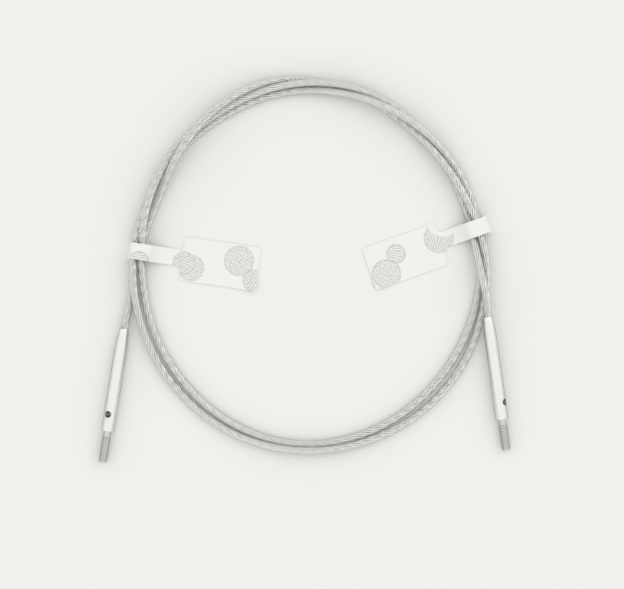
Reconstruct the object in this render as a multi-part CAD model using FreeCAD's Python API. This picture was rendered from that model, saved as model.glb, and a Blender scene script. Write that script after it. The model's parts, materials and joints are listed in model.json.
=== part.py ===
import FreeCAD, Part
import math
import os

# Cable of an interchangeable circular knitting needle, in millimetres.
# A nylon-jacketed steel cable lies coiled on a flat surface at z = 0, held by two paper labels.
# Each end of the cable turns freely inside a tapered steel connector with a threaded stud,
# onto which a needle tip screws.  Origin: centre of the coil, on the surface.

Vector = FreeCAD.Vector

# Cable
CABLE_R = 1.05            # nylon jacket, outside
ROPE_R = 0.75             # bare steel rope inside the jacket

# Coil: radius and height of the cable's centre line every 20 degrees, travelling clockwise from
# 180 degrees.  It climbs over its other turns and dips under them to hold itself together.
STEP_DEG = 20.0
STEPS_PER_TURN = 18
START_DEG = 180.0
FIRST_TURN = [
    (49.2, 1.1), (46.2, 1.1), (48.2, 4.9), (51.0, 5.0), (52.7, 1.4), (49.9, 1.1),
    (47.1, 1.8), (46.0, 3.4), (46.6, 3.2), (48.8, 2.7), (49.7, 1.1), (51.1, 1.1),
    (51.7, 1.1), (52.1, 2.1), (52.4, 2.2), (52.3, 1.1), (51.4, 1.1), (50.6, 2.6),
]
SECOND_TURN = [
    (49.8, 3.7), (49.1, 1.1), (48.5, 1.1), (48.0, 1.1), (48.6, 1.1), (48.4, 2.6),
    (48.15, 4.8), (48.3, 2.7), (47.9, 1.1), (47.3, 1.1), (47.2, 1.1), (47.8, 1.1),
    (49.0, 1.1), (50.2, 1.1), (50.7, 1.1), (49.8, 1.1), (48.7, 1.1), (48.0, 1.1),
]
LAST_HALF_TURN = [
    (47.4, 2.6), (48.65, 4.6), (49.9, 2.8), (49.4, 2.6), (50.4, 2.5), (50.7, 3.4),
    (49.4, 1.8), (46.7, 1.1), (45.5, 1.1), (46.0, 3.3),
]
COIL_HEIGHT = 2.15        # turns side by side on the surface
COIL_ROUND = 0.95
# Stretches raised on other turns, in steps along the cable
RAISED = [(0.5, 4.5), (5.0, 10.5), (12.0, 15.5), (16.0, 19.5), (22.0, 26.0), (35.0, 43.0), (43.5, 45.0)]
RAISED_FLOOR = 1.0        # they are filled down into the turns below
RAISED_INSET = 0.06

# Connector, measured along its axis from the nose
BARREL_LENGTH = 28.9
BARREL_R = 1.75
NOSE_R = 1.25
NOSE_TAPER = 8.0
NOSE_BORE_R = 1.08
STEP_AT = 4.0             # end of the nose bore, start of the swivel chamber
CHAMBER_R = 1.35
REAR_CHAMFER = 0.15
JACKET_END = 3.9

WASHER_END = 4.8
WASHER_BORE_R = 0.80
FERRULE_START = 4.88
FERRULE_END = 12.3
FERRULE_R = 1.31
FERRULE_BORE_END = 11.4
FERRULE_GROOVES = (6.6, 8.2, 9.8)
GROOVE_DEPTH = 0.12
GROOVE_HALF_WIDTH = 0.3
PAD_START = 12.4
SHANK_START = 13.3

NECK_R = 0.98
NECK_LENGTH = 1.5
THREAD_R = 1.25           # major radius of M2.5
STUD_END = 37.7
THREAD_CHAMFER = 0.3
KEY_HOLE_AT = 24.2
KEY_HOLE_R = 0.95

# Where each connector lies: nose, heading of its axis from nose to stud (degrees from +X),
# fall of the axis towards the stud, and how far the key hole is turned away from straight up.
CONNECTORS = {
    "left": {"nose": Vector(-52.5, -18.2, 1.80), "heading": -99.2, "fall": 0.0, "key_turn": 18.0},
    "right": {"nose": Vector(49.0, -14.8, 3.12), "heading": -81.8, "fall": 2.61, "key_turn": -53.0},
}

# Free stretches of cable, from the coil to one millimetre short of each nose.
LEFT_ROUTE = [
    Vector(-49.45, -1.6, 1.12),
    Vector(-50.05, -6.2, 1.20),
    Vector(-51.05, -11.6, 1.55),
]
RIGHT_ROUTE = [
    Vector(46.40, 0.0, 3.20),
    Vector(47.35, -3.9, 3.90),
    Vector(48.35, -7.8, 4.20),
    Vector(48.72, -10.9, 3.80),
]
NOSE_RUN = 1.0            # straight run outside the nose
ARC_SHARE = 0.45          # share of the shorter run that an arc takes

# Paper labels: a narrow neck folded round the cable bundle and a wide double flag.
PAPER = 0.15
NECK_WIDTH = 4.6
FLAG_WIDTH = 12.3
FLAG_LENGTH = 22.0
FLAG_Z = 0.12
FLAG_THICKNESS = 0.3
LABELS = {
    "left": {"at": Vector(-48.1, 3.3, 0), "heading": -8.5, "flag_from": 11.5, "flag_shift": 0.0,
             "outside": 2.75, "inside": 2.85},
    "right": {"at": Vector(46.3, 10.1, 0), "heading": 199.5, "flag_from": 10.6, "flag_shift": 0.6,
              "outside": 3.1, "inside": 3.2},
}
LABEL_TOP = 4.50


def heading_vector(side):
    place = CONNECTORS[side]
    turn = math.radians(place["heading"])
    fall = math.radians(place["fall"])
    flat = math.cos(fall)
    return Vector(flat * math.cos(turn), flat * math.sin(turn), -math.sin(fall))


def along(side, distance):
    """A point on a connector's axis, a distance behind its nose."""
    return CONNECTORS[side]["nose"] + heading_vector(side) * distance


def place_on_axis(shape, side):
    """Move a piece made along +X, with the nose at the origin, onto its connector's axis."""
    place = CONNECTORS[side]
    fall = FreeCAD.Rotation(Vector(0, 1, 0), place["fall"])
    turn = FreeCAD.Rotation(Vector(0, 0, 1), place["heading"])
    placed = shape.copy()
    placed.Placement = FreeCAD.Placement(place["nose"], turn.multiply(fall))
    return placed


def turned(points):
    """A solid of revolution about X from an outline of (x, radius) points."""
    corners = [Vector(x, r, 0) for x, r in points]
    outline = Part.makePolygon(corners + corners[:1])
    return Part.Face(outline).revolve(Vector(0, 0, 0), Vector(1, 0, 0), 360)


def key_hole(side):
    """The cross hole's cylinder, square to the axis and turned about it."""
    reach = 2 * BARREL_R
    drill = Part.makeCylinder(KEY_HOLE_R, 2 * reach, Vector(KEY_HOLE_AT, 0, -reach), Vector(0, 0, 1))
    drill.rotate(Vector(0, 0, 0), Vector(1, 0, 0), CONNECTORS[side]["key_turn"])
    return drill


def barrel(side):
    """Tapered shell: curved nose, plain rear, stepped bore and cross key hole."""
    curve_r = (NOSE_TAPER ** 2 + (BARREL_R - NOSE_R) ** 2) / (2 * (BARREL_R - NOSE_R))
    middle_x = NOSE_TAPER / 2
    middle_r = BARREL_R - curve_r + math.sqrt(curve_r ** 2 - middle_x ** 2)
    nose = Vector(0, NOSE_R, 0)
    full = Vector(NOSE_TAPER, BARREL_R, 0)
    taper = Part.Arc(nose, Vector(middle_x, middle_r, 0), full).toShape()
    corners = [
        full,
        Vector(BARREL_LENGTH - REAR_CHAMFER, BARREL_R, 0),
        Vector(BARREL_LENGTH, BARREL_R - REAR_CHAMFER, 0),
        Vector(BARREL_LENGTH, CHAMBER_R, 0),
        Vector(STEP_AT, CHAMBER_R, 0),
        Vector(STEP_AT, NOSE_BORE_R, 0),
        Vector(0, NOSE_BORE_R, 0),
        nose,
    ]
    outline = Part.Wire([taper] + Part.makePolygon(corners).Edges)
    shell = Part.Face(outline).revolve(Vector(0, 0, 0), Vector(1, 0, 0), 360)
    return shell.cut(key_hole(side))


def threaded_stud(side):
    """Shank pressed into the barrel, undercut neck and M2.5 stud, drilled with the barrel."""
    neck_end = BARREL_LENGTH + NECK_LENGTH
    stud = turned([
        (SHANK_START, 0),
        (SHANK_START, CHAMBER_R),
        (BARREL_LENGTH, CHAMBER_R),
        (BARREL_LENGTH, NECK_R),
        (neck_end, NECK_R),
        (neck_end + THREAD_R - NECK_R, THREAD_R),
        (STUD_END - THREAD_CHAMFER, THREAD_R),
        (STUD_END, THREAD_R - THREAD_CHAMFER),
        (STUD_END, 0),
    ])
    return stud.cut(key_hole(side))


def front_washer():
    """Nylon washer against the chamber's step, with the rope turning inside it."""
    return turned([
        (STEP_AT, WASHER_BORE_R),
        (STEP_AT, CHAMBER_R),
        (WASHER_END, CHAMBER_R),
        (WASHER_END, WASHER_BORE_R),
    ])


def rear_pad():
    """Nylon disc that the ferrule's back end bears on."""
    return turned([(PAD_START, 0), (PAD_START, CHAMBER_R), (SHANK_START, CHAMBER_R), (SHANK_START, 0)])


def swivel_ferrule():
    """Steel sleeve crimped on the bare rope in three grooves, closed at its back end."""
    outline = [(FERRULE_START, ROPE_R), (FERRULE_START, FERRULE_R)]
    for at in FERRULE_GROOVES:
        outline.append((at - GROOVE_HALF_WIDTH, FERRULE_R))
        outline.append((at, FERRULE_R - GROOVE_DEPTH))
        outline.append((at + GROOVE_HALF_WIDTH, FERRULE_R))
    outline += [(FERRULE_END, FERRULE_R), (FERRULE_END, 0)]
    outline += [(FERRULE_BORE_END, 0), (FERRULE_BORE_END, ROPE_R)]
    return turned(outline)


def rope_end():
    """The rope stripped of its jacket, from the jacket's end to the bottom of the ferrule."""
    return turned([(JACKET_END, 0), (JACKET_END, ROPE_R), (FERRULE_BORE_END, ROPE_R), (FERRULE_BORE_END, 0)])


def rounded_path(points):
    """Straight runs joined by tangent arcs, each as large as its two runs allow."""
    edges = []
    radii = []
    start = points[0]
    for before, corner, after in zip(points, points[1:], points[2:]):
        back = before - corner
        ahead = after - corner
        cut = ARC_SHARE * min(back.Length, ahead.Length)
        turn = math.pi - back.getAngle(ahead)
        radius = cut / math.tan(turn / 2)
        back.normalize()
        ahead.normalize()
        enter = corner + back * cut
        leave = corner + ahead * cut
        inward = back + ahead
        inward.normalize()
        middle = corner + inward * (radius / math.cos(turn / 2) - radius)
        edges.append(Part.LineSegment(start, enter).toShape())
        edges.append(Part.Arc(enter, middle, leave).toShape())
        radii.append(round(radius, 1))
        start = leave
    edges.append(Part.LineSegment(start, points[-1]).toShape())
    return Part.Wire(edges), radii


def cable_tube(name, points):
    path, radii = rounded_path(points)
    direction = points[1] - points[0]
    section = Part.Wire(Part.makeCircle(CABLE_R, points[0], direction))
    tube = path.makePipeShell([section], True, True)
    expected = math.pi * CABLE_R ** 2 * path.Length
    print(name, "length", round(path.Length, 2), "arc radii", radii)
    print(name, "volume", round(tube.Volume, 2), "section times length", round(expected, 2))
    return tube


def tail_points(side, route):
    return route + [along(side, -NOSE_RUN), along(side, JACKET_END)]


def on_circle(radius, step, height):
    angle = math.radians(START_DEG - STEP_DEG * step)
    return Vector(radius * math.cos(angle), radius * math.sin(angle), height)


def smooth_edge(points, closed):
    curve = Part.BSplineCurve()
    curve.interpolate(points, PeriodicFlag=closed)
    return curve.toShape()


def coil_ring():
    """The turns that lie side by side on the surface."""
    table = FIRST_TURN + SECOND_TURN + LAST_HALF_TURN
    outer = []
    inner = []
    for step in range(STEPS_PER_TURN):
        passes = [radius for radius, height in table[step::STEPS_PER_TURN]]
        outer.append(on_circle(max(passes) + CABLE_R, step, 0))
        inner.append(on_circle(min(passes) - CABLE_R, step, 0))
    outside = Part.Face(Part.Wire(smooth_edge(outer, True)))
    inside = Part.Face(Part.Wire(smooth_edge(inner, True)))
    ring = outside.extrude(Vector(0, 0, COIL_HEIGHT)).cut(inside.extrude(Vector(0, 0, COIL_HEIGHT)))
    rims = [edge for edge in ring.Edges if edge.BoundBox.ZLength < 0.01]
    return ring.makeFillet(COIL_ROUND, rims)


def centre_at(half_step):
    """Radius and height of the cable's centre line, a number of half steps along it."""
    table = FIRST_TURN + SECOND_TURN + LAST_HALF_TURN
    before = table[(half_step - 1) // 2]
    here = table[half_step // 2]
    after = table[min((half_step + 1) // 2 + (half_step + 1) % 2, len(table) - 1)]
    if half_step % 2:
        return (here[0] + after[0]) / 2, (here[1] + after[1]) / 2
    return here[0], (before[1] + 6 * here[1] + after[1]) / 8


def raised_stretch(first, last):
    """A stretch of cable on top of other turns, filled down into them."""
    half = CABLE_R - RAISED_INSET
    sections = []
    for half_step in range(int(2 * first), int(2 * last) + 1):
        radius, height = centre_at(half_step)
        step = half_step / 2
        inner_foot = on_circle(radius - half, step, RAISED_FLOOR)
        outer_foot = on_circle(radius + half, step, RAISED_FLOOR)
        outer_rim = on_circle(radius + half, step, height)
        inner_rim = on_circle(radius - half, step, height)
        crest = on_circle(radius, step, height + half)
        sections.append(Part.Wire([
            Part.LineSegment(inner_foot, outer_foot).toShape(),
            Part.LineSegment(outer_foot, outer_rim).toShape(),
            Part.Arc(outer_rim, crest, inner_rim).toShape(),
            Part.LineSegment(inner_rim, inner_foot).toShape(),
        ]))
    return Part.makeLoft(sections, True, False)


def cable_coil(tails, labels):
    coil = coil_ring()
    for first, last in RAISED:
        stretch = raised_stretch(first, last)
        coil = coil.fuse(stretch)
        print("raised", first, last, "valid", stretch.isValid(), coil.isValid(), round(coil.BoundBox.ZMax, 2))
    for neighbour in tails + labels:
        coil = coil.cut(neighbour)
    return max(coil.Solids, key=lambda solid: solid.Volume)


def box_between(x0, x1, y0, y1, z0, z1):
    return Part.makeBox(x1 - x0, y1 - y0, z1 - z0, Vector(x0, y0, z0))


def label(side):
    """A closed paper loop round the bundle, its strap, and the double flag, folded flat."""
    place = LABELS[side]
    half_neck = NECK_WIDTH / 2
    half_flag = FLAG_WIDTH / 2
    shift = place["flag_shift"]
    flag_from = place["flag_from"]
    loop = box_between(-place["outside"], place["inside"], -half_neck, half_neck, 0, LABEL_TOP)
    window = box_between(PAPER - place["outside"], place["inside"] - PAPER,
                         -NECK_WIDTH, NECK_WIDTH, PAPER, LABEL_TOP - PAPER)
    strap = box_between(place["inside"] - PAPER, flag_from + 1, -half_neck, half_neck,
                        FLAG_Z, FLAG_Z + FLAG_THICKNESS)
    flag = box_between(flag_from, flag_from + FLAG_LENGTH, -half_flag - shift, half_flag - shift,
                       FLAG_Z, FLAG_Z + FLAG_THICKNESS)
    paper = loop.cut(window).fuse(strap).fuse(flag).removeSplitter()
    turn = FreeCAD.Rotation(Vector(0, 0, 1), place["heading"])
    paper.Placement = FreeCAD.Placement(place["at"], turn)
    return paper


def export(name, shape):
    solid = shape.Solids[0] if len(shape.Solids) == 1 else shape
    print(name, "valid", solid.isValid(), "solids", len(shape.Solids), "volume", round(shape.Volume, 3))
    solid.exportStep("parts/" + name + ".step")


os.makedirs("parts", exist_ok=True)

left_tail = cable_tube("cable_tail_left", tail_points("left", LEFT_ROUTE))
right_tail = cable_tube("cable_tail_right", tail_points("right", RIGHT_ROUTE))
left_label = label("left")
right_label = label("right")
export("cable_tail_left", left_tail)
export("cable_tail_right", right_tail)
export("label_left", left_label)
export("label_right", right_label)
export("cable_coil", cable_coil([left_tail, right_tail], [left_label, right_label]))

for side in CONNECTORS:
    export("barrel_" + side, place_on_axis(barrel(side), side))
    export("threaded_stud_" + side, place_on_axis(threaded_stud(side), side))
    export("front_washer_" + side, place_on_axis(front_washer(), side))
    export("rear_pad_" + side, place_on_axis(rear_pad(), side))
    export("swivel_ferrule_" + side, place_on_axis(swivel_ferrule(), side))
    export("wire_rope_end_" + side, place_on_axis(rope_end(), side))
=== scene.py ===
import bpy
import bmesh
import json
import math
from mathutils import Euler, Matrix, Vector


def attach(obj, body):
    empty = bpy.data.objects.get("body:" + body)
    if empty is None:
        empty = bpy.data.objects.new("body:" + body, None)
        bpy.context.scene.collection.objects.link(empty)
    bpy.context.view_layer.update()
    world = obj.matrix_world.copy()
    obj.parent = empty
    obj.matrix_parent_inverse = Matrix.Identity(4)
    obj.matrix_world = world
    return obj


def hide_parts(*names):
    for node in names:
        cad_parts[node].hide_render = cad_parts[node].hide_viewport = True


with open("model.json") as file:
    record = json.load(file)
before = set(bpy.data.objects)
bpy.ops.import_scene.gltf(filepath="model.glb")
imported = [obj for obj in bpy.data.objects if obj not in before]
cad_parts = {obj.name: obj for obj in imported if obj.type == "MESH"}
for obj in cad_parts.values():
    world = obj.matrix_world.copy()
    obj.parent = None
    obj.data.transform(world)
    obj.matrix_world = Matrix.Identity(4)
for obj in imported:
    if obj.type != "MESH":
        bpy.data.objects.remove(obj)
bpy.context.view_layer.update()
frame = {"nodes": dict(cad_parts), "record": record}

# Table, camera and studio light.
# The cable lies on a plain pale table, seen from straight above inside a bright light tent,
# with one wide softbox at the upper right and a darker band round the horizon.
VIEW_CENTRE = (0.0, -0.0086)
VIEW_WIDTH = 0.1747
LENS_MM = 100.0
SENSOR_MM = 36.0
CABLE_MIDDLE = 0.001
TABLE_HALF = 3.0
TABLE_COLOUR = (0.80, 0.797, 0.785, 1.0)
HORIZON_LIGHT = 0.42
TENT_LIGHT = 1.075
DARK_BAND_TOP = 0.28
SOFTBOX_SIZE = 1.35
SOFTBOX_POWER = 5.0
SOFTBOX_AT = (1.56, 1.32, 1.86)

scene = bpy.context.scene
scene.view_settings.view_transform = "Standard"

camera_data = bpy.data.cameras.new("camera")
camera_data.lens = LENS_MM
camera_data.sensor_width = SENSOR_MM
camera = bpy.data.objects.new("camera", camera_data)
camera.location = (*VIEW_CENTRE, VIEW_WIDTH * LENS_MM / SENSOR_MM + CABLE_MIDDLE)
scene.collection.objects.link(camera)
scene.camera = camera

table_mesh = bpy.data.meshes.new("table")
table_mesh.from_pydata(
    [(-TABLE_HALF, -TABLE_HALF, 0), (TABLE_HALF, -TABLE_HALF, 0),
     (TABLE_HALF, TABLE_HALF, 0), (-TABLE_HALF, TABLE_HALF, 0)], [], [(0, 1, 2, 3)])
table = bpy.data.objects.new("table", table_mesh)
scene.collection.objects.link(table)
table_paint = bpy.data.materials.new("table_paint")
table_paint.use_nodes = True
table_shader = table_paint.node_tree.nodes["Principled BSDF"]
table_shader.inputs["Base Color"].default_value = TABLE_COLOUR
table_shader.inputs["Roughness"].default_value = 0.9
table_shader.inputs["Specular IOR Level"].default_value = 0.2
table_mesh.materials.append(table_paint)

world = bpy.data.worlds.new("light_tent")
scene.world = world
world.use_nodes = True
sky = world.node_tree
direction = sky.nodes.new("ShaderNodeTexCoord")
split = sky.nodes.new("ShaderNodeSeparateXYZ")
rise = sky.nodes.new("ShaderNodeMapRange")
rise.inputs["From Min"].default_value = 0.0
rise.inputs["From Max"].default_value = DARK_BAND_TOP
rise.inputs["To Min"].default_value = HORIZON_LIGHT
rise.inputs["To Max"].default_value = TENT_LIGHT
backdrop = sky.nodes["Background"]
backdrop.inputs["Color"].default_value = (1.0, 1.0, 0.99, 1.0)
sky.links.new(direction.outputs["Generated"], split.inputs["Vector"])
sky.links.new(split.outputs["Z"], rise.inputs["Value"])
sky.links.new(rise.outputs["Result"], backdrop.inputs["Strength"])

key = bpy.data.lights.new("key_softbox", "AREA")
key.shape = "SQUARE"
key.size = SOFTBOX_SIZE
key.energy = SOFTBOX_POWER
key.color = (1.0, 0.99, 0.97)
key_lamp = bpy.data.objects.new("key_softbox", key)
key_lamp.location = SOFTBOX_AT
key_lamp.rotation_euler = (-key_lamp.location).to_track_quat("-Z", "Y").to_euler()
scene.collection.objects.link(key_lamp)


# Cable jacket.
# One length of clear nylon, 2.1 mm across, drawn over the steel rope: out of the left
# connector's nose, two and a half loose turns clockwise, and over the coil to the right nose.
MM = 0.001
CABLE_R = 1.05
JACKET_GLOSS = 0.10
JACKET_HAZE = 0.22
TURN_STEP = math.radians(20)
# The spline runs this share as far from the middle as its control points do.
CORNER_CUT = (6 + 2 * math.cos(TURN_STEP)) / 8
# The turns are (distance from the middle, height) in mm, one at every step round the coil.
FIRST_TURN = [
    (49.2, 1.1), (46.2, 1.1), (48.2, 4.9), (51.0, 5.0), (52.7, 1.4), (49.9, 1.1),
    (47.1, 1.8), (46.0, 3.4), (46.6, 3.2), (48.8, 2.7), (49.7, 1.1), (51.1, 1.1),
    (51.7, 1.1), (52.1, 2.1), (52.4, 2.2), (52.3, 1.1), (51.4, 1.1), (50.6, 2.6),
]
SECOND_TURN = [
    (49.8, 3.7), (49.1, 1.1), (48.5, 1.1), (48.0, 1.1), (48.6, 1.1), (48.4, 2.6),
    (48.15, 4.8), (48.3, 2.7), (47.9, 1.1), (47.3, 1.1), (47.2, 1.1), (47.8, 1.1),
    (49.0, 1.1), (50.2, 1.1), (50.7, 1.1), (49.8, 1.1), (48.7, 1.1), (48.0, 1.1),
]
LAST_HALF_TURN = [
    (47.4, 2.6), (48.65, 4.6), (49.9, 2.8), (49.4, 2.6), (50.4, 2.5), (50.7, 3.4),
    (49.4, 1.8), (46.7, 1.1), (45.5, 1.1), (46.0, 3.3),
]
# The tails are (x, y, z) in mm.
LEFT_TAIL = [
    (-53.13, -22.05, 1.80),
    (-52.34, -17.21, 1.80),
    (-51.05, -11.60, 1.55),
    (-50.05, -6.20, 1.20),
]
RIGHT_TAIL = [
    (47.35, -3.90, 3.90),
    (48.35, -7.80, 4.20),
    (48.72, -10.90, 3.80),
    (48.86, -13.81, 3.17),
    (49.56, -18.66, 2.94),
]

route = list(LEFT_TAIL)
for step, (radius, height) in enumerate(FIRST_TURN + SECOND_TURN + LAST_HALF_TURN):
    angle = math.pi - TURN_STEP * step
    reach = radius / CORNER_CUT
    route.append((reach * math.cos(angle), reach * math.sin(angle), height))
route += RIGHT_TAIL

jacket_curve = bpy.data.curves.new("cable_jacket", "CURVE")
jacket_curve.dimensions = "3D"
spline = jacket_curve.splines.new("NURBS")
spline.points.add(len(route) - 1)
for point, place in zip(spline.points, route):
    point.co = (*(MM * value for value in place), 1.0)
spline.order_u = 3
spline.use_endpoint_u = True
jacket_curve.resolution_u = 30
jacket = bpy.data.objects.new("cable_jacket", jacket_curve)
scene.collection.objects.link(jacket)

centre_line = [v.co.copy() for v in bpy.data.meshes.new_from_object(jacket).vertices]

jacket_curve.bevel_depth = CABLE_R * MM
jacket_curve.bevel_resolution = 6
jacket_curve.use_fill_caps = True


def start_material(name, **plain):
    """A new material, its Principled shader with plain values set, and its node tree."""
    material = bpy.data.materials.new(name)
    material.use_nodes = True
    shader = material.node_tree.nodes["Principled BSDF"]
    for socket, value in plain.items():
        shader.inputs[socket.replace("_", " ")].default_value = value
    return material, shader, material.node_tree


def start_group(name, numbers, vectors=(), results=("Mask",)):
    """A shader node group with number and vector inputs and number outputs."""
    group = bpy.data.node_groups.new(name, "ShaderNodeTree")
    for socket in vectors:
        group.interface.new_socket(socket, in_out="INPUT", socket_type="NodeSocketVector")
    for socket, value in numbers:
        entry = group.interface.new_socket(socket, in_out="INPUT", socket_type="NodeSocketFloat")
        entry.default_value = value
    for socket in results:
        group.interface.new_socket(socket, in_out="OUTPUT", socket_type="NodeSocketFloat")
    return group, group.nodes.new("NodeGroupInput"), group.nodes.new("NodeGroupOutput")


def feed(tree, source, target):
    """Link an output socket, or set a plain value, on an input socket."""
    if isinstance(source, bpy.types.NodeSocket):
        tree.links.new(source, target)
    else:
        target.default_value = source


def sums(tree, operation, *values):
    """The output of a Math node fed by sockets or numbers."""
    node = tree.nodes.new("ShaderNodeMath")
    node.operation = operation
    for value, socket in zip(values, node.inputs):
        feed(tree, value, socket)
    return node.outputs[0]


def add_group(tree, group, **values):
    """A group placed in a material, with its inputs linked or set."""
    node = tree.nodes.new("ShaderNodeGroup")
    node.node_tree = group
    for socket, value in values.items():
        feed(tree, value, node.inputs[socket.replace("_", " ")])
    return node


def grain_group():
    """Even fine grain: a soft noise and a finer one on it, from 0 to 1."""
    numbers = [("Scale", 2000.0), ("Fine Share", 0.4)]
    group, given, result = start_group("grain", numbers, ["Position"], ["Value"])
    coarse = group.nodes.new("ShaderNodeTexNoise")
    fine = group.nodes.new("ShaderNodeTexNoise")
    fine.inputs["Detail"].default_value = 4.0
    group.links.new(given.outputs["Position"], coarse.inputs["Vector"])
    group.links.new(given.outputs["Position"], fine.inputs["Vector"])
    group.links.new(given.outputs["Scale"], coarse.inputs["Scale"])
    group.links.new(sums(group, "MULTIPLY", given.outputs["Scale"], 6.0), fine.inputs["Scale"])
    blend = group.nodes.new("ShaderNodeMix")
    group.links.new(given.outputs["Fine Share"], blend.inputs["Factor"])
    group.links.new(coarse.outputs["Fac"], blend.inputs["A"])
    group.links.new(fine.outputs["Fac"], blend.inputs["B"])
    group.links.new(blend.outputs["Result"], result.inputs["Value"])
    return group


def blend_colours(tree, mask, low, high):
    """Two colours mixed by a mask."""
    node = tree.nodes.new("ShaderNodeMix")
    node.data_type = "RGBA"
    feed(tree, mask, node.inputs["Factor"])
    node.inputs["A"].default_value = (*low, 1.0)
    node.inputs["B"].default_value = (*high, 1.0)
    return node.outputs["Result"]


def to_range(tree, value, low, high):
    """A value from 0 to 1 spread between two limits."""
    node = tree.nodes.new("ShaderNodeMapRange")
    tree.links.new(value, node.inputs["Value"])
    node.inputs["To Min"].default_value = low
    node.inputs["To Max"].default_value = high
    return node.outputs["Result"]


def add_bump(tree, shader, height, distance, strength=1.0):
    """A Bump node from a height to the shader's normal."""
    node = tree.nodes.new("ShaderNodeBump")
    node.inputs["Strength"].default_value = strength
    node.inputs["Distance"].default_value = distance
    tree.links.new(height, node.inputs["Height"])
    tree.links.new(node.outputs["Normal"], shader.inputs["Normal"])


def object_position(tree):
    """Position in the object's own space."""
    return tree.nodes.new("ShaderNodeTexCoord").outputs["Object"]


def let_light_through(tree, shader):
    """Clear plastic that doesn't block lamp light from what is under it."""
    way = tree.nodes.new("ShaderNodeLightPath")
    gap = tree.nodes.new("ShaderNodeBsdfTransparent")
    either = tree.nodes.new("ShaderNodeMixShader")
    tree.links.new(way.outputs["Is Shadow Ray"], either.inputs["Fac"])
    tree.links.new(shader.outputs["BSDF"], either.inputs[1])
    tree.links.new(gap.outputs["BSDF"], either.inputs[2])
    tree.links.new(either.outputs["Shader"], tree.nodes["Material Output"].inputs["Surface"])


grain = grain_group()
clear_nylon, nylon, nylon_tree = start_material(
    "clear_nylon", Base_Color=(0.985, 0.985, 0.975, 1.0), IOR=1.45, Transmission_Weight=1.0)
nylon_grain = add_group(nylon_tree, grain, Position=object_position(nylon_tree), Scale=900.0)
nylon_haze = to_range(nylon_tree, nylon_grain.outputs["Value"], JACKET_GLOSS, JACKET_HAZE)
nylon_tree.links.new(nylon_haze, nylon.inputs["Roughness"])
let_light_through(nylon_tree, nylon)
jacket_curve.materials.append(clear_nylon)
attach(jacket, "cable")
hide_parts("cable_coil", "cable_tail_left", "cable_tail_right")


# Rope strands.
# Six strands of fine stainless wire laid right-handed round a seventh, one turn in every
# 9.6 mm.  The rope is 1.5 mm across and the round jacket enlarges it to its own width.
ROPE_LAY = 9.6 * MM
OUTER_STRANDS = 6
STRAND_R = 0.25 * MM
STRAND_SIDES = 8
STATION = 0.45 * MM
WIRES_IN_STRAND = 7
WIRE_HEIGHT = 0.04 * MM


def evenly_spaced(points, spacing):
    """Points a fixed distance apart along a line of points."""
    spaced = [points[0]]
    wanted = spacing
    for a, b in zip(points, points[1:]):
        run = (b - a).length
        while run >= wanted:
            a = a.lerp(b, wanted / run)
            spaced.append(a)
            run = (b - a).length
            wanted = spacing
        wanted -= run
    return spaced


def tube_mesh(name, rings, spacing):
    """A tube through rings of points, with distance along it and share round it as its UV map."""
    sides = len(rings[0])
    faces = []
    uvs = []
    for row in range(len(rings) - 1):
        for side in range(sides):
            after = (side + 1) % sides
            faces.append((row * sides + side, row * sides + after,
                          (row + 1) * sides + after, (row + 1) * sides + side))
            uvs += [(row * spacing, side / sides), (row * spacing, (side + 1) / sides),
                    ((row + 1) * spacing, (side + 1) / sides), ((row + 1) * spacing, side / sides)]
    last = (len(rings) - 1) * sides
    faces.append(tuple(reversed(range(sides))))
    faces.append(tuple(range(last, last + sides)))
    uvs += [(0, 0)] * (2 * sides)
    mesh = bpy.data.meshes.new(name)
    mesh.from_pydata([point for ring in rings for point in ring], [], faces)
    layer = mesh.uv_layers.new(name="lay")
    for loop, uv in zip(layer.data, uvs):
        loop.uv = uv
    mesh.shade_smooth()
    return mesh


def strand_rings(stations, headings, offset, phase):
    """Rings of one strand, whose middle winds about the cable's centre line."""
    rings = []
    for index, (centre, ahead) in enumerate(zip(stations, headings)):
        side = ahead.cross(Vector((0, 0, 1))).normalized()
        up = side.cross(ahead)
        lay = phase - 2 * math.pi * index * STATION / ROPE_LAY
        middle = centre + offset * (math.cos(lay) * side + math.sin(lay) * up)
        ring = []
        for corner in range(STRAND_SIDES):
            angle = lay + 2 * math.pi * corner / STRAND_SIDES
            ring.append(middle + STRAND_R * (math.cos(angle) * side + math.sin(angle) * up))
        rings.append(ring)
    return rings


def wire_lay_group():
    """Height of the round wires of a strand across its surface, from its UV map."""
    numbers = [("Wires", 7.0), ("Twist", 330.0)]
    group, given, result = start_group("wire_lay", numbers, (), ["Height"])
    place = group.nodes.new("ShaderNodeUVMap")
    place.uv_map = "lay"
    parts = group.nodes.new("ShaderNodeSeparateXYZ")
    group.links.new(place.outputs["UV"], parts.inputs["Vector"])
    around = sums(group, "MULTIPLY", parts.outputs["Y"], given.outputs["Wires"])
    along = sums(group, "MULTIPLY", parts.outputs["X"], given.outputs["Twist"])
    turn = sums(group, "MULTIPLY", sums(group, "SUBTRACT", around, along), math.pi)
    height = sums(group, "ABSOLUTE", sums(group, "SINE", turn))
    group.links.new(height, result.inputs["Height"])
    return group


stations = evenly_spaced(centre_line, STATION)
headings = [(b - a).normalized() for a, b in zip(stations, stations[1:])]
headings.append(headings[-1])
wire_lay = wire_lay_group()

bright_wire, wire, wire_tree = start_material("bright_wire", Metallic=1.0)
lay = add_group(wire_tree, wire_lay, Wires=float(WIRES_IN_STRAND))
# Painted shade: the wire colour is darker in the grooves between the round wires, where shade falls, than
# on their crests.
wire_tone_groove_shade = blend_colours(wire_tree, lay.outputs["Height"], (0.62, 0.612, 0.59), (0.92, 0.912, 0.885))
wire_tree.links.new(wire_tone_groove_shade, wire.inputs["Base Color"])
wire_tree.links.new(to_range(wire_tree, lay.outputs["Height"], 0.5, 0.3), wire.inputs["Roughness"])
add_bump(wire_tree, wire, lay.outputs["Height"], WIRE_HEIGHT, 0.5)

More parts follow.
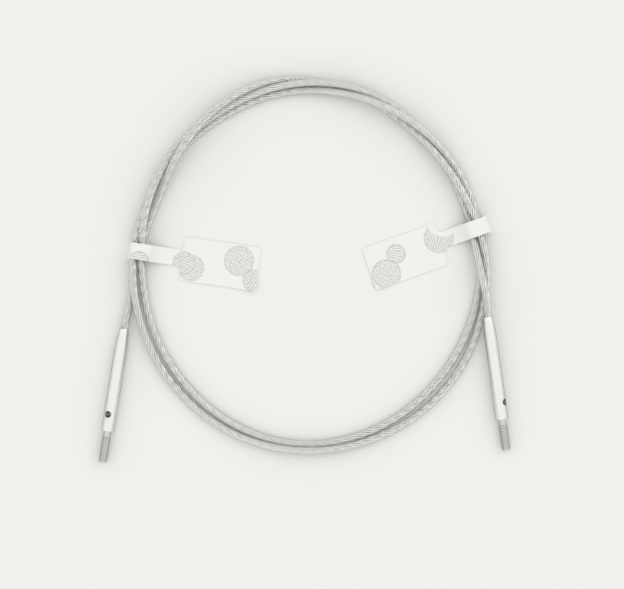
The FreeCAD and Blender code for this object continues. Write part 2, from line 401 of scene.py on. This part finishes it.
for number in range(OUTER_STRANDS + 1):
    from_centre = 2 * STRAND_R if number < OUTER_STRANDS else 0.0
    phase = number * 2 * math.pi / OUTER_STRANDS
    rings = strand_rings(stations, headings, from_centre, phase)
    mesh = tube_mesh("rope_strand_%d" % (number + 1), rings, STATION)
    mesh.materials.append(bright_wire)
    strand = bpy.data.objects.new(mesh.name, mesh)
    scene.collection.objects.link(strand)
    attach(strand, "cable")


# Rope ends.
# The last of the rope at each end, stripped of its jacket inside the swivel.  The strands
# show as a right-handed lay of ridges about the connector's axis.
STRAND_RIDGE = 0.12 * MM
THREAD_MOUNT_AT = 34.0 * MM


def rope_lay_group():
    """Height of the strands of a bare rope, from the position along and about its axis."""
    numbers = [("Strands", 6.0), ("Lay", 0.0096)]
    group, given, result = start_group("rope_lay", numbers, ["Position"], ["Height"])
    parts = group.nodes.new("ShaderNodeSeparateXYZ")
    group.links.new(given.outputs["Position"], parts.inputs["Vector"])
    about = sums(group, "ARCTAN2", parts.outputs["Z"], parts.outputs["Y"])
    turns = sums(group, "DIVIDE", parts.outputs["X"], given.outputs["Lay"])
    lag = sums(group, "SUBTRACT", about, sums(group, "MULTIPLY", turns, 2 * math.pi))
    half_waves = sums(group, "MULTIPLY", given.outputs["Strands"], 0.5)
    wave = sums(group, "SINE", sums(group, "MULTIPLY", lag, half_waves))
    group.links.new(sums(group, "ABSOLUTE", wave), result.inputs["Height"])
    return group


mounts = {mount["name"]: mount for mount in frame["record"]["mounts"]}
axes = {}
for side in ("left", "right"):
    ahead = Vector(mounts["thread_" + side]["axis"])
    nose = Vector(mounts["thread_" + side]["pos_m"]) - THREAD_MOUNT_AT * ahead
    axes[side] = (nose, Euler((0.0, math.asin(-ahead.z), math.atan2(ahead.y, ahead.x))))


def axis_position(tree, side):
    """Position in a connector's own axes: X runs from its nose to its stud."""
    nose, turn = axes[side]
    node = tree.nodes.new("ShaderNodeMapping")
    node.vector_type = "TEXTURE"
    node.inputs["Location"].default_value = nose
    node.inputs["Rotation"].default_value = turn
    tree.links.new(object_position(tree), node.inputs["Vector"])
    return node.outputs["Vector"]


def dress(node_name, material):
    """Give a CAD node its material."""
    slots = frame["nodes"][node_name].data.materials
    slots.clear()
    slots.append(material)


rope_lay = rope_lay_group()
for side in axes:
    rope_steel, rope, rope_tree = start_material("rope_steel_" + side, Metallic=1.0)
    ridges = add_group(rope_tree, rope_lay, Position=axis_position(rope_tree, side)).outputs["Height"]
    # Painted shade: the rope colour is darker in the hollows between the strands, where shade falls, than
    # on the strand ridges.
    rope_tone_groove_shade = blend_colours(rope_tree, ridges, (0.38, 0.375, 0.36), (0.86, 0.855, 0.84))
    rope_tree.links.new(rope_tone_groove_shade, rope.inputs["Base Color"])
    rope_tree.links.new(to_range(rope_tree, ridges, 0.6, 0.3), rope.inputs["Roughness"])
    add_bump(rope_tree, rope, ridges, STRAND_RIDGE)
    dress("wire_rope_end_" + side, rope_steel)


# Swivel ferrules.
# A steel sleeve crimped on each rope end in three grooves.  The barrel turns about it, and
# fine lathe rings and brighter grooves show on its surface.
GROOVES_AT = (6.6 * MM, 8.2 * MM, 9.8 * MM)
GROOVE_MARK = 0.4 * MM
SLEEVE_RINGS = 0.008 * MM


def turning_marks_group():
    """Fine rings left by a lathe tool, from the position along the axis."""
    group, given, result = start_group("turning_marks", [("Scale", 9000.0)], ["Position"], ["Value"])
    parts = group.nodes.new("ShaderNodeSeparateXYZ")
    rings = group.nodes.new("ShaderNodeTexNoise")
    rings.noise_dimensions = "1D"
    rings.inputs["Scale"].default_value = 1.0
    rings.inputs["Detail"].default_value = 3.0
    group.links.new(given.outputs["Position"], parts.inputs["Vector"])
    group.links.new(sums(group, "MULTIPLY", parts.outputs["X"], given.outputs["Scale"]), rings.inputs["W"])
    group.links.new(rings.outputs["Fac"], result.inputs["Value"])
    return group


def worn_band_group():
    """A band across the axis, broken up by noise, where handling or a tool has rubbed the steel."""
    group, given, result = start_group("worn_band", [("At", 0.0), ("Width", 0.001)], ["Position"])
    parts = group.nodes.new("ShaderNodeSeparateXYZ")
    patches = group.nodes.new("ShaderNodeTexNoise")
    patches.inputs["Scale"].default_value = 1800.0
    patches.inputs["Detail"].default_value = 4.0
    group.links.new(given.outputs["Position"], parts.inputs["Vector"])
    group.links.new(given.outputs["Position"], patches.inputs["Vector"])
    away = sums(group, "ABSOLUTE", sums(group, "SUBTRACT", parts.outputs["X"], given.outputs["At"]))
    near = group.nodes.new("ShaderNodeMapRange")
    near.interpolation_type = "SMOOTHSTEP"
    near.inputs["To Min"].default_value = 1.0
    near.inputs["To Max"].default_value = 0.0
    group.links.new(sums(group, "DIVIDE", away, given.outputs["Width"]), near.inputs["Value"])
    patchy = sums(group, "MULTIPLY", patches.outputs["Fac"], 1.6)
    rubbed = sums(group, "MULTIPLY", near.outputs["Result"], patchy)
    group.links.new(sums(group, "MINIMUM", rubbed, 1.0), result.inputs["Mask"])
    return group


def edge_shade_group():
    """Mask of the flanks that turn away from the eye and mirror the dark surroundings."""
    group, given, result = start_group("edge_shade", [("From", 0.50), ("To", 0.80)])
    weight = group.nodes.new("ShaderNodeLayerWeight")
    rise = group.nodes.new("ShaderNodeMapRange")
    rise.interpolation_type = "SMOOTHSTEP"
    group.links.new(weight.outputs["Facing"], rise.inputs["Value"])
    group.links.new(given.outputs["From"], rise.inputs["From Min"])
    group.links.new(given.outputs["To"], rise.inputs["From Max"])
    group.links.new(rise.outputs["Result"], result.inputs["Mask"])
    return group


def shade_flanks(tree, shader, colour, flank):
    """A colour that darkens on the flanks, as bright round metal does in a light tent."""
    mask = add_group(tree, edge_shade).outputs["Mask"]
    node = tree.nodes.new("ShaderNodeMix")
    node.data_type = "RGBA"
    tree.links.new(mask, node.inputs["Factor"])
    tree.links.new(colour, node.inputs["A"])
    node.inputs["B"].default_value = (*flank, 1.0)
    tree.links.new(node.outputs["Result"], shader.inputs["Base Color"])


turning_marks = turning_marks_group()
worn_band = worn_band_group()
edge_shade = edge_shade_group()
for side in axes:
    crimped_steel, sleeve, sleeve_tree = start_material("crimped_steel_" + side, Metallic=1.0)
    where = axis_position(sleeve_tree, side)
    rings = add_group(sleeve_tree, turning_marks, Position=where, Scale=14000.0).outputs["Value"]
    crimps = 0.0
    for groove_at in GROOVES_AT:
        band = add_group(sleeve_tree, worn_band, Position=where, At=groove_at, Width=GROOVE_MARK)
        crimps = sums(sleeve_tree, "MAXIMUM", crimps, band.outputs["Mask"])
    sleeve_tone = blend_colours(sleeve_tree, crimps, (0.56, 0.555, 0.54), (0.74, 0.735, 0.72))
    sleeve_tree.links.new(sleeve_tone, sleeve.inputs["Base Color"])
    sleeve_tree.links.new(to_range(sleeve_tree, rings, 0.28, 0.5), sleeve.inputs["Roughness"])
    add_bump(sleeve_tree, sleeve, rings, SLEEVE_RINGS)
    dress("swivel_ferrule_" + side, crimped_steel)


# Barrels.
# Stainless shells turned to a long curved nose and polished lightly, so faint lathe rings and
# dull smudges stay; the nose and the rear rim are rubbed brighter, and the flanks look dark.
BARREL_LENGTH = 28.9 * MM
NOSE_WEAR = 1.6 * MM
REAR_WEAR = 0.6 * MM
STEEL_RINGS = 0.006 * MM
for side in axes:
    satin_steel, barrel, barrel_tree = start_material("satin_steel_" + side, Metallic=1.0)
    where = axis_position(barrel_tree, side)
    rings = add_group(barrel_tree, turning_marks, Position=where, Scale=9000.0).outputs["Value"]
    smudges = add_group(barrel_tree, grain, Position=where, Scale=260.0, Fine_Share=0.25)
    nose_wear = add_group(barrel_tree, worn_band, Position=where, At=0.0, Width=NOSE_WEAR)
    rear_wear = add_group(barrel_tree, worn_band, Position=where, At=BARREL_LENGTH, Width=REAR_WEAR)
    wear = sums(barrel_tree, "MAXIMUM", nose_wear.outputs["Mask"], rear_wear.outputs["Mask"])
    steel = blend_colours(barrel_tree, wear, (0.80, 0.79, 0.77), (0.90, 0.89, 0.87))
    shade_flanks(barrel_tree, barrel, steel, (0.07, 0.069, 0.065))
    dulled = sums(barrel_tree, "MULTIPLY",
                  sums(barrel_tree, "ADD", rings, smudges.outputs["Value"]), 0.5)
    barrel_tree.links.new(to_range(barrel_tree, dulled, 0.16, 0.40), barrel.inputs["Roughness"])
    add_bump(barrel_tree, barrel, rings, STEEL_RINGS)
    dress("barrel_" + side, satin_steel)


# Threaded studs.
# Stainless bar pressed into each barrel, necked behind it and cut with a right-hand M2.5
# thread that fades out at the neck and the chamfered tip.  The key hole is drilled through both.
SHANK_START = 13.3 * MM
SHANK_R = 1.345 * MM
NECK_R = 0.98 * MM
NECK_END = BARREL_LENGTH + 1.5 * MM
THREAD_R = 1.25 * MM
THREAD_PITCH = 0.45 * MM
THREAD_DEPTH = 0.27 * MM
ROOT_SHARE = 0.20
CREST_SHARE = 0.82
STUD_END = 37.7 * MM
TIP_CHAMFER = 0.3 * MM
KEY_HOLE_R = 0.95 * MM
STUD_SIDES = 48
ROWS_PER_PITCH = 8
SHARP_EDGE = math.radians(35)


def thread_radius(x, angle):
    """Radius of the stud at a distance from the nose and an angle about the axis."""
    across = abs((x / THREAD_PITCH - angle / (2 * math.pi)) % 1.0 - 0.5) * 2
    groove = min(max((CREST_SHARE - across) / (CREST_SHARE - ROOT_SHARE), 0.0), 1.0)
    to_neck = NECK_R + (x - NECK_END)
    to_tip = THREAD_R - TIP_CHAMFER + (STUD_END - x)
    return min(THREAD_R - THREAD_DEPTH * groove, to_neck, to_tip)


def stud_mesh(name, side):
    """The stud as rows of points about its axis, closed at both ends."""
    rows = [(SHANK_START, SHANK_R), (BARREL_LENGTH, SHANK_R), (BARREL_LENGTH, NECK_R)]
    x = NECK_END
    while x < STUD_END:
        rows.append((x, None))
        x += THREAD_PITCH / ROWS_PER_PITCH
    rows.append((STUD_END, None))
    points = []
    faces = []
    for x, radius in rows:
        for number in range(STUD_SIDES):
            angle = 2 * math.pi * number / STUD_SIDES
            reach = radius if radius else thread_radius(x, angle)
            points.append((x, reach * math.cos(angle), reach * math.sin(angle)))
    row_count = len(points) // STUD_SIDES
    for row in range(row_count - 1):
        for number in range(STUD_SIDES):
            after = (number + 1) % STUD_SIDES
            faces.append((row * STUD_SIDES + after, row * STUD_SIDES + number,
                          (row + 1) * STUD_SIDES + number, (row + 1) * STUD_SIDES + after))
    faces.append(tuple(range(STUD_SIDES)))
    last = (row_count - 1) * STUD_SIDES
    faces.append(tuple(reversed(range(last, last + STUD_SIDES))))
    mesh = bpy.data.meshes.new(name)
    mesh.from_pydata(points, [], faces)
    nose, turn = axes[side]
    mesh.transform(Matrix.Translation(nose) @ turn.to_matrix().to_4x4())
    mesh.validate()
    return mesh


def drill(piece, place, direction, radius):
    """Cut a round hole right through a piece."""
    shape = bmesh.new()
    stand = Matrix.Translation(place) @ direction.to_track_quat("Z", "Y").to_matrix().to_4x4()
    bmesh.ops.create_cone(shape, cap_ends=True, segments=48, radius1=radius, radius2=radius,
                          depth=6 * SHANK_R, matrix=stand)
    cutter_mesh = bpy.data.meshes.new("drill")
    shape.to_mesh(cutter_mesh)
    shape.free()
    cutter = bpy.data.objects.new("drill", cutter_mesh)
    scene.collection.objects.link(cutter)
    cut = piece.modifiers.new("hole", "BOOLEAN")
    cut.operation = "DIFFERENCE"
    cut.solver = "EXACT"
    cut.object = cutter
    depsgraph = bpy.context.evaluated_depsgraph_get()
    drilled = bpy.data.meshes.new_from_object(piece.evaluated_get(depsgraph))
    piece.modifiers.clear()
    piece.data = drilled
    bpy.data.objects.remove(cutter)


def distance(tree, across, up):
    """Distance from zero of a point with these two coordinates."""
    flat = sums(tree, "MULTIPLY", across, across)
    steep = sums(tree, "MULTIPLY", up, up)
    return sums(tree, "SQRT", sums(tree, "ADD", flat, steep))


for side in axes:
    cut_steel, stud_look, stud_tree = start_material("cut_steel_" + side, Metallic=1.0)
    where = axis_position(stud_tree, side)
    rings = add_group(stud_tree, turning_marks, Position=where, Scale=16000.0).outputs["Value"]
    parts = stud_tree.nodes.new("ShaderNodeSeparateXYZ")
    stud_tree.links.new(where, parts.inputs["Vector"])
    reach = distance(stud_tree, parts.outputs["Y"], parts.outputs["Z"])
    # Painted shade: the thread colour is darker towards the root of its groove and lighter on the crests,
    # by distance from the axis.
    thread_root_shade = stud_tree.nodes.new("ShaderNodeMapRange")
    thread_root_shade.inputs["From Min"].default_value = THREAD_R - THREAD_DEPTH
    thread_root_shade.inputs["From Max"].default_value = THREAD_R
    stud_tree.links.new(reach, thread_root_shade.inputs["Value"])
    steel = blend_colours(stud_tree, thread_root_shade.outputs["Result"], (0.62, 0.615, 0.60), (0.88, 0.875, 0.855))
    shade_flanks(stud_tree, stud_look, steel, (0.10, 0.098, 0.092))
    stud_tree.links.new(to_range(stud_tree, rings, 0.20, 0.42), stud_look.inputs["Roughness"])
    add_bump(stud_tree, stud_look, rings, STEEL_RINGS)
    stud_name = "threaded_stud_mesh_" + side
    stud = bpy.data.objects.new(stud_name, stud_mesh(stud_name, side))
    scene.collection.objects.link(stud)
    hole = mounts["key_hole_" + side]
    drill(stud, Vector(hole["pos_m"]), Vector(hole["axis"]), KEY_HOLE_R)
    stud.data.materials.clear()
    stud.data.materials.append(cut_steel)
    stud.data.shade_smooth()
    stud.data.set_sharp_from_angle(angle=SHARP_EDGE)
    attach(stud, "connector_" + side)
    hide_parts("threaded_stud_" + side)


# Washers and pads.
# Small discs of natural nylon, turned from rod, in front of each ferrule and behind it.
# Clouds in the nylon and fine tool rings show on them.
DISC_RINGS = 0.01 * MM
for side in axes:
    turned_nylon, disc, disc_tree = start_material("turned_nylon_" + side, Subsurface_Weight=0.2)
    disc.inputs["Subsurface Scale"].default_value = 0.0006
    where = axis_position(disc_tree, side)
    rings = add_group(disc_tree, turning_marks, Position=where, Scale=20000.0).outputs["Value"]
    cloud = add_group(disc_tree, grain, Position=where, Scale=1400.0).outputs["Value"]
    disc_tone = blend_colours(disc_tree, cloud, (0.80, 0.78, 0.70), (0.90, 0.885, 0.82))
    disc_tree.links.new(disc_tone, disc.inputs["Base Color"])
    disc_tree.links.new(to_range(disc_tree, rings, 0.35, 0.6), disc.inputs["Roughness"])
    add_bump(disc_tree, disc, rings, DISC_RINGS)
    dress("front_washer_" + side, turned_nylon)
    dress("rear_pad_" + side, turned_nylon)


# Labels.
# One strip of white matt paper each, cut to two wide flags joined by a narrow neck, folded round
# the cable at the neck and pressed together at the flags.  Grey hatched dots are printed on top.
PAPER = 0.10 * MM
LABEL_STEP = 0.4 * MM
LABEL_ACROSS = 15
NECK_HALF = 2.3 * MM
FLAG_HALF = 6.15 * MM
FLAG_CORNER = 0.9 * MM
SHOULDER = 0.35 * MM
EAR_ALONG = 7.0 * MM
EAR_ACROSS = 8.0 * MM
EDGE_LIFT = 0.06 * MM
EDGE_LIFT_RUN = 20.0 * MM
FIBRE_HEIGHT = 0.02 * MM
PRINT_SCALE = 10.0
NO_PRINT = (0.9, 0.9)
PRINT_FROM_HEIGHT = 4.0 * MM
# In mm and degrees.  "section" is the side view as (along, height), "ear" a lifted corner,
# "dots" are (along, across, radius, hatch angle) and "bites" unprinted (along, across, radius).
LABELS = {
    "left": {
        "at": (-48.1, 3.3),
        "heading": -8.5,
        "flag_from": 11.5,
        "flag_shift": 0.0,
        "ear": (0.8, -1.0),
        "section": [(33.5, 0.12), (22.0, 0.10), (12.0, 0.10), (5.5, 0.10), (3.4, 0.08), (0.0, 0.08),
                    (-2.2, 0.08), (-2.8, 0.60), (-2.85, 2.30), (-2.7, 4.00), (-1.5, 4.60), (1.2, 4.60),
                    (2.9, 4.20), (4.2, 2.20), (6.0, 0.70), (9.0, 0.26), (12.0, 0.23), (22.0, 0.22),
                    (33.5, 0.24)],
        "bites": [],
        "dots": [(14.72, -2.27, 3.78, 30.0), (12.57, -1.17, 3.36, 30.0), (27.72, 1.66, 4.34, -45.0),
                 (0.21, -2.74, 3.08, 0.0), (32.5, -3.2, 3.2, 60.0)],
    },
    "right": {
        "at": (46.3, 10.1),
        "heading": 199.5,
        "flag_from": 10.6,
        "flag_shift": 0.9,
        "ear": (0.25, 1.0),
        "section": [(32.6, 0.12), (21.0, 0.10), (11.0, 0.10), (5.5, 0.10), (3.6, 0.08), (0.0, 0.08),
                    (-2.2, 0.08), (-3.1, 0.55), (-3.3, 2.20), (-3.1, 3.80), (-1.7, 4.60), (1.4, 4.65),
                    (3.2, 4.10), (4.5, 2.10), (6.2, 0.70), (9.0, 0.26), (11.0, 0.23), (21.0, 0.22),
                    (32.6, 0.24)],
        "bites": [(8.33, -5.3, 4.7)],
        "dots": [(28.29, 3.67, 4.2, 40.0), (23.91, -0.72, 2.88, -30.0), (11.06, -0.93, 4.34, 55.0)],
    },
}


def smooth_step(share):
    """An even rise from 0 to 1."""
    share = min(max(share, 0.0), 1.0)
    return share * share * (3 - 2 * share)


def section_line(name, corners):
    """A smooth line through a label's side view, as evenly spaced (along, height) points."""
    curve = bpy.data.curves.new(name, "CURVE")
    curve.dimensions = "3D"
    line = curve.splines.new("NURBS")
    line.points.add(len(corners) - 1)
    for point, (along, height) in zip(line.points, corners):
        point.co = (along * MM, 0.0, height * MM, 1.0)
    line.order_u = 3
    line.use_endpoint_u = True
    curve.resolution_u = 24
    carrier = bpy.data.objects.new(name, curve)
    points = [vertex.co.copy() for vertex in bpy.data.meshes.new_from_object(carrier).vertices]
    bpy.data.objects.remove(carrier)
    return evenly_spaced(points, LABEL_STEP)


def half_width(along, end, flag_from):
    """Half the paper's width: narrow at the neck, wide at the flags, round at their corners."""
    width = NECK_HALF + (FLAG_HALF - NECK_HALF) * smooth_step((along - flag_from) / SHOULDER)
    from_end = end - along
    if from_end < FLAG_CORNER:
        width -= FLAG_CORNER - math.sqrt(max(FLAG_CORNER ** 2 - (FLAG_CORNER - from_end) ** 2, 0.0))
    return width


def label_mesh(name, place):
    """The folded strip: rows of points across it, with the print's place as its UV map."""
    line = section_line(name + "_line", place["section"])
    turn = math.radians(place["heading"])
    along_dir = Vector((math.cos(turn), math.sin(turn), 0.0))
    across_dir = Vector((-math.sin(turn), math.cos(turn), 0.0))
    corner_at = Vector((*place["at"], 0.0)) * MM
    end = place["section"][0][0] * MM
    flag_from = place["flag_from"] * MM
    lift, ear_side = place["ear"]
    points = []
    prints = []
    first_on_top = next(row for row, spot in enumerate(line) if spot.z > PRINT_FROM_HEIGHT)
    for row, spot in enumerate(line):
        half = half_width(spot.x, end, flag_from)
        shift = place["flag_shift"] * MM * smooth_step((spot.x - flag_from) / SHOULDER)
        for column in range(LABEL_ACROSS):
            across = shift + half * (2 * column / (LABEL_ACROSS - 1) - 1)
            to_corner = (spot.x - end) / EAR_ALONG + (ear_side * across - FLAG_HALF) / EAR_ACROSS
            ear = lift * MM * smooth_step(1 + to_corner) ** 2
            along_flag = smooth_step((spot.x - flag_from) / EDGE_LIFT_RUN)
            edge = EDGE_LIFT * along_flag * (across / FLAG_HALF) ** 2
            points.append(corner_at + spot.x * along_dir + across * across_dir
                          + Vector((0, 0, spot.z + ear + edge)))
            prints.append((PRINT_SCALE * spot.x, PRINT_SCALE * across))
    faces = []
    uvs = []
    for row in range(len(line) - 1):
        for column in range(LABEL_ACROSS - 1):
            first = row * LABEL_ACROSS + column
            corners = (first, first + 1, first + LABEL_ACROSS + 1, first + LABEL_ACROSS)
            faces.append(corners)
            printed = row >= first_on_top
            uvs += [prints[corner] if printed else NO_PRINT for corner in corners]
    mesh = bpy.data.meshes.new(name)
    mesh.from_pydata(points, [], faces)
    layer = mesh.uv_layers.new(name="print")
    for loop, uv in zip(layer.data, uvs):
        loop.uv = uv
    return mesh


def printed_dot_group():
    """Mask of a round printed dot with a dark rim and a hatched middle, placed by the UV map."""
    numbers = [("Centre X", 0.0), ("Centre Y", 0.0), ("Radius", 0.04), ("Hatch", 0.0),
               ("Pitch", 0.0068)]
    group, given, result = start_group("printed_dot", numbers, ["Place"])
    parts = group.nodes.new("ShaderNodeSeparateXYZ")
    group.links.new(given.outputs["Place"], parts.inputs["Vector"])
    x = sums(group, "SUBTRACT", parts.outputs["X"], given.outputs["Centre X"])
    y = sums(group, "SUBTRACT", parts.outputs["Y"], given.outputs["Centre Y"])
    to_rim = sums(group, "SUBTRACT", given.outputs["Radius"], distance(group, x, y))
    inside = group.nodes.new("ShaderNodeMapRange")
    inside.inputs["From Max"].default_value = 0.002
    group.links.new(to_rim, inside.inputs["Value"])
    rim = group.nodes.new("ShaderNodeMapRange")
    rim.inputs["From Max"].default_value = 0.008
    rim.inputs["To Min"].default_value = 1.0
    rim.inputs["To Max"].default_value = 0.0
    group.links.new(to_rim, rim.inputs["Value"])
    rise_part = sums(group, "MULTIPLY", y, sums(group, "COSINE", given.outputs["Hatch"]))
    run_part = sums(group, "MULTIPLY", x, sums(group, "SINE", given.outputs["Hatch"]))
    slant = sums(group, "SUBTRACT", rise_part, run_part)
    shake = group.nodes.new("ShaderNodeTexNoise")
    shake.inputs["Scale"].default_value = 60.0
    shake.inputs["Detail"].default_value = 3.0
    group.links.new(given.outputs["Place"], shake.inputs["Vector"])
    slant = sums(group, "ADD", slant, sums(group, "MULTIPLY", shake.outputs["Fac"], 0.006))
    lines_across = sums(group, "DIVIDE", slant, given.outputs["Pitch"])
    wave = sums(group, "SINE", sums(group, "MULTIPLY", lines_across, 2 * math.pi))
    speckle = group.nodes.new("ShaderNodeTexNoise")
    speckle.inputs["Scale"].default_value = 210.0
    speckle.inputs["Detail"].default_value = 2.0
    group.links.new(given.outputs["Place"], speckle.inputs["Vector"])
    patches = group.nodes.new("ShaderNodeMapRange")
    patches.inputs["From Min"].default_value = 0.35
    patches.inputs["From Max"].default_value = 0.62
    patches.inputs["To Min"].default_value = 0.25
    group.links.new(speckle.outputs["Fac"], patches.inputs["Value"])
    lines = group.nodes.new("ShaderNodeMapRange")
    lines.inputs["From Min"].default_value = -0.4
    lines.inputs["From Max"].default_value = 0.9
    lines.inputs["To Min"].default_value = 0.1
    lines.inputs["To Max"].default_value = 0.8
    group.links.new(wave, lines.inputs["Value"])
    broken = sums(group, "MULTIPLY", lines.outputs["Result"], patches.outputs["Result"])
    rim_strength = sums(group, "ADD", 0.2, patches.outputs["Result"])
    worn_rim = sums(group, "MULTIPLY", rim.outputs["Result"], rim_strength)
    fill = sums(group, "MAXIMUM", sums(group, "MULTIPLY", worn_rim, 0.6), broken)
    group.links.new(sums(group, "MULTIPLY", inside.outputs["Result"], fill), result.inputs["Mask"])
    return group


def plain_spot_group():
    """Mask that is 0 inside a round spot left unprinted and 1 outside it."""
    numbers = [("Centre X", 0.0), ("Centre Y", 0.0), ("Radius", 0.04)]
    group, given, result = start_group("plain_spot", numbers, ["Place"])
    parts = group.nodes.new("ShaderNodeSeparateXYZ")
    group.links.new(given.outputs["Place"], parts.inputs["Vector"])
    x = sums(group, "SUBTRACT", parts.outputs["X"], given.outputs["Centre X"])
    y = sums(group, "SUBTRACT", parts.outputs["Y"], given.outputs["Centre Y"])
    outside = sums(group, "GREATER_THAN", distance(group, x, y), given.outputs["Radius"])
    group.links.new(outside, result.inputs["Mask"])
    return group


printed_dot = printed_dot_group()
plain_spot = plain_spot_group()
for side, place in LABELS.items():
    label_paper, paper, paper_tree = start_material("label_paper_" + side, Roughness=0.85)
    paper.inputs["Specular IOR Level"].default_value = 0.2
    print_place = paper_tree.nodes.new("ShaderNodeUVMap")
    print_place.uv_map = "print"
    ink = 0.0
    for along, across, radius, hatch in place["dots"]:
        dot = add_group(paper_tree, printed_dot, Place=print_place.outputs["UV"],
                        Centre_X=PRINT_SCALE * along * MM, Centre_Y=PRINT_SCALE * across * MM,
                        Radius=PRINT_SCALE * radius * MM, Hatch=math.radians(hatch))
        ink = sums(paper_tree, "MAXIMUM", ink, dot.outputs["Mask"])
    for along, across, radius in place["bites"]:
        bare = add_group(paper_tree, plain_spot, Place=print_place.outputs["UV"],
                         Centre_X=PRINT_SCALE * along * MM, Centre_Y=PRINT_SCALE * across * MM,
                         Radius=PRINT_SCALE * radius * MM)
        ink = sums(paper_tree, "MULTIPLY", ink, bare.outputs["Mask"])
    paper_grain = add_group(paper_tree, grain, Position=object_position(paper_tree), Scale=2600.0)
    fibres = paper_grain.outputs["Value"]
    uneven = sums(paper_tree, "ADD", 0.55, sums(paper_tree, "MULTIPLY", fibres, 0.6))
    ink = sums(paper_tree, "MULTIPLY", ink, uneven)
    paper_tone = blend_colours(paper_tree, ink, (0.81, 0.80, 0.772), (0.22, 0.22, 0.215))
    paper_tree.links.new(paper_tone, paper.inputs["Base Color"])
    paper_tree.links.new(to_range(paper_tree, fibres, 0.75, 0.95), paper.inputs["Roughness"])
    add_bump(paper_tree, paper, fibres, FIBRE_HEIGHT, 0.6)
    strip_name = "folded_label_" + side
    strip = bpy.data.objects.new(strip_name, label_mesh(strip_name, place))
    scene.collection.objects.link(strip)
    strip.data.materials.append(label_paper)
    thick = strip.modifiers.new("paper", "SOLIDIFY")
    thick.thickness = PAPER
    thick.offset = 0.0
    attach(strip, "cable")
    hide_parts("label_" + side)
